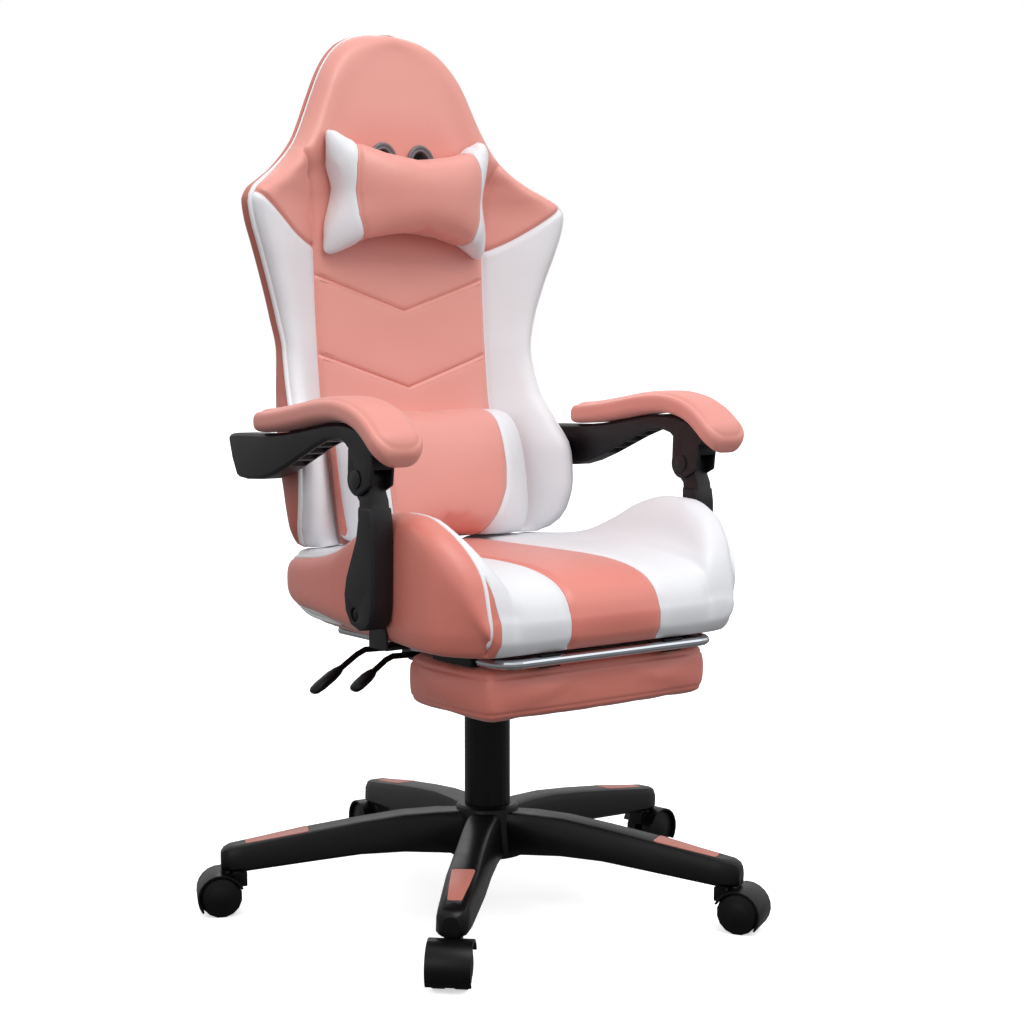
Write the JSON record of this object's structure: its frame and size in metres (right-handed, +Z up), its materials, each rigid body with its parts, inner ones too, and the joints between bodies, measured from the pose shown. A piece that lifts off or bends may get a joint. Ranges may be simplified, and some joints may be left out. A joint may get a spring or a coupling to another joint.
{
  "type": "gaming chair",
  "caption": "Reclining bucket gaming chair with head and lumbar pillows, linked padded armrests, pull-out footrest, gas lift and a star base on twin-wheel casters.",
  "frame": {"origin": "centre of the bounding box at floor level, at rest", "axes": "+Z up, the sitter faces -Y and the sitter's left is +X"},
  "size_m": [0.7692, 0.7606, 1.207],
  "materials": {
    "pink_leather": "satin, fine pebbled grain",
    "white_leather": "satin, fine pebbled grain",
    "pad_leather": "satin, soft moulded pad with a leather skin",
    "inlay_plastic": "satin moulded plastic",
    "black_plastic": "semi-gloss moulded nylon",
    "charcoal_plastic": "satin, fine moulded texture",
    "wheel_plastic": "satin nylon tread",
    "painted_frame": "black powder coat",
    "board_wood": "plywood board under black lining",
    "chrome_tube": "bright plated tube",
    "dark_steel": "blackened steel",
    "bezel_plastic": "satin grey plastic"
  },
  "bodies": {
    "base": {"base_star": "black_plastic", "base_inlay_1": "inlay_plastic", "base_inlay_2": "inlay_plastic", "base_inlay_3": "inlay_plastic", "base_inlay_4": "inlay_plastic", "base_inlay_5": "inlay_plastic", "cover_lower": "black_plastic", "gas_cylinder": "dark_steel"},
    "caster_1": {"caster_fork_1": "black_plastic"},
    "wheel_1": {"caster_wheels_1": "wheel_plastic"},
    "caster_2": {"caster_fork_2": "black_plastic"},
    "wheel_2": {"caster_wheels_2": "wheel_plastic"},
    "caster_3": {"caster_fork_3": "black_plastic"},
    "wheel_3": {"caster_wheels_3": "wheel_plastic"},
    "caster_4": {"caster_fork_4": "black_plastic"},
    "wheel_4": {"caster_wheels_4": "wheel_plastic"},
    "caster_5": {"caster_fork_5": "black_plastic"},
    "wheel_5": {"caster_wheels_5": "wheel_plastic"},
    "cover_mid": {"cover_middle": "black_plastic"},
    "lift": {"piston_rod": "dark_steel", "cover_upper": "black_plastic"},
    "seat": {"seat_cushion": "pink_leather", "seat_board": "board_wood", "mechanism_housing": "painted_frame", "hinge_frame": "dark_steel", "recline_shaft": "dark_steel", "arm_bracket_l": "painted_frame", "arm_bracket_r": "painted_frame", "post_bolt_l": "dark_steel", "post_bolt_r": "dark_steel", "footrest_guide_l": "painted_frame", "footrest_guide_r": "painted_frame"},
    "back": {"back_cushion": "white_leather", "back_cover": "pink_leather", "back_bracket": "dark_steel", "harness_bezel_l": "bezel_plastic", "harness_bezel_r": "bezel_plastic", "head_pillow": "pink_leather", "lumbar_pillow": "pink_leather", "arm_pivot_l": "charcoal_plastic", "arm_pivot_r": "charcoal_plastic"},
    "post_l": {"arm_post_l": "charcoal_plastic"},
    "post_r": {"arm_post_r": "charcoal_plastic"},
    "arm_l": {"armrest_l": "charcoal_plastic", "arm_pad_l": "pad_leather", "knuckle_pin_l": "charcoal_plastic"},
    "arm_r": {"armrest_r": "charcoal_plastic", "arm_pad_r": "pad_leather", "knuckle_pin_r": "charcoal_plastic"},
    "height_lever": {"height_lever": "black_plastic"},
    "recline_lever": {"recline_lever": "black_plastic"},
    "footrest_slide": {"footrest_tube": "chrome_tube"},
    "footrest_flip": {"footrest_pad": "pink_leather", "footrest_hinge_l": "dark_steel", "footrest_hinge_r": "dark_steel"}
  },
  "joints": [
    {"name": "caster_swivel_1", "type": "hinge", "parent": "base", "child": "caster_1", "pos_m": [-0.24571, -0.26929, 0.057], "axis": [0, 0, 1], "continuous": true},
    {"name": "wheel_roll_1", "type": "hinge", "parent": "caster_1", "child": "wheel_1", "pos_m": [-0.26207, -0.28685, 0.0275], "axis": [0.7314, -0.682, 0], "continuous": true},
    {"name": "caster_swivel_2", "type": "hinge", "parent": "base", "child": "caster_2", "pos_m": [0.15451, -0.31844, 0.057], "axis": [0, 0, 1], "continuous": true},
    {"name": "wheel_roll_2", "type": "hinge", "parent": "caster_2", "child": "wheel_2", "pos_m": [0.16614, -0.33942, 0.0275], "axis": [0.8746, 0.4848, 0], "continuous": true},
    {"name": "caster_swivel_3", "type": "hinge", "parent": "base", "child": "caster_3", "pos_m": [0.32492, 0.04701, 0.057], "axis": [0, 0, 1], "continuous": true},
    {"name": "wheel_roll_3", "type": "hinge", "parent": "caster_3", "child": "wheel_3", "pos_m": [0.34848, 0.05159, 0.0275], "axis": [-0.1908, 0.9816, 0], "continuous": true},
    {"name": "caster_swivel_4", "type": "hinge", "parent": "base", "child": "caster_4", "pos_m": [0.03002, 0.322, 0.057], "axis": [0, 0, 1], "continuous": true},
    {"name": "wheel_roll_4", "type": "hinge", "parent": "caster_4", "child": "wheel_4", "pos_m": [0.03295, 0.34582, 0.0275], "axis": [-0.9925, 0.1219, 0], "continuous": true},
    {"name": "caster_swivel_5", "type": "hinge", "parent": "base", "child": "caster_5", "pos_m": [-0.32264, 0.12652, 0.057], "axis": [0, 0, 1], "continuous": true},
    {"name": "wheel_roll_5", "type": "hinge", "parent": "caster_5", "child": "wheel_5", "pos_m": [-0.3444, 0.13666, 0.0275], "axis": [-0.4226, -0.9063, 0], "continuous": true},
    {"name": "gas_lift", "type": "slide", "parent": "base", "child": "lift", "axis": [0, 0, 1], "range_m": [0, 0.08]},
    {"name": "cover_telescope", "type": "slide", "parent": "base", "child": "cover_mid", "axis": [0, 0, 1], "range_m": [0, 0.04]},
    {"name": "seat_swivel", "type": "hinge", "parent": "lift", "child": "seat", "pos_m": [-0.01178, -0.01844, 0.358], "axis": [0, 0, 1], "continuous": true},
    {"name": "recline", "type": "hinge", "parent": "seat", "child": "back", "pos_m": [-0.01178, 0.13156, 0.443], "axis": [-1, 0, 0], "range_deg": [0, 45]},
    {"name": "post_fold_r", "type": "hinge", "parent": "seat", "child": "post_r", "pos_m": [-0.27828, -0.12844, 0.433], "axis": [-1, 0, 0], "range_deg": [0, 45.5]},
    {"name": "arm_level_r", "type": "hinge", "parent": "post_r", "child": "arm_r", "pos_m": [-0.27828, -0.13544, 0.6], "axis": [-1, 0, 0], "range_deg": [-45.5, 0]},
    {"name": "post_fold_l", "type": "hinge", "parent": "seat", "child": "post_l", "pos_m": [0.25472, -0.12844, 0.433], "axis": [-1, 0, 0], "range_deg": [0, 45.5]},
    {"name": "arm_level_l", "type": "hinge", "parent": "post_l", "child": "arm_l", "pos_m": [0.25472, -0.13544, 0.6], "axis": [-1, 0, 0], "range_deg": [-45.5, 0]},
    {"name": "height_lever_lift", "type": "hinge", "parent": "seat", "child": "height_lever", "pos_m": [-0.08178, -0.06444, 0.359], "axis": [0, 1, 0], "range_deg": [0, 3], "stiffness_Nm_per_rad": 1},
    {"name": "recline_lever_lift", "type": "hinge", "parent": "seat", "child": "recline_lever", "pos_m": [-0.08178, 0.00156, 0.359], "axis": [0, 1, 0], "range_deg": [0, 3], "stiffness_Nm_per_rad": 1},
    {"name": "footrest_extend", "type": "slide", "parent": "seat", "child": "footrest_slide", "axis": [0, -1, 0], "range_m": [0, 0.22]},
    {"name": "footrest_turn", "type": "hinge", "parent": "footrest_slide", "child": "footrest_flip", "pos_m": [-0.01178, -0.28644, 0.3785], "axis": [-1, 0, 0], "range_deg": [0, 180]}
  ],
  "couplings": [
    {"joint": "cover_telescope", "follows": "gas_lift", "ratio": 0.5},
    {"joint": "post_fold_r", "follows": "recline", "ratio": 1},
    {"joint": "arm_level_r", "follows": "recline", "ratio": -1},
    {"joint": "post_fold_l", "follows": "recline", "ratio": 1},
    {"joint": "arm_level_l", "follows": "recline", "ratio": -1},
    {"joint": "footrest_turn", "follows": "footrest_extend", "rad_per_m": 14.275}
  ]
}
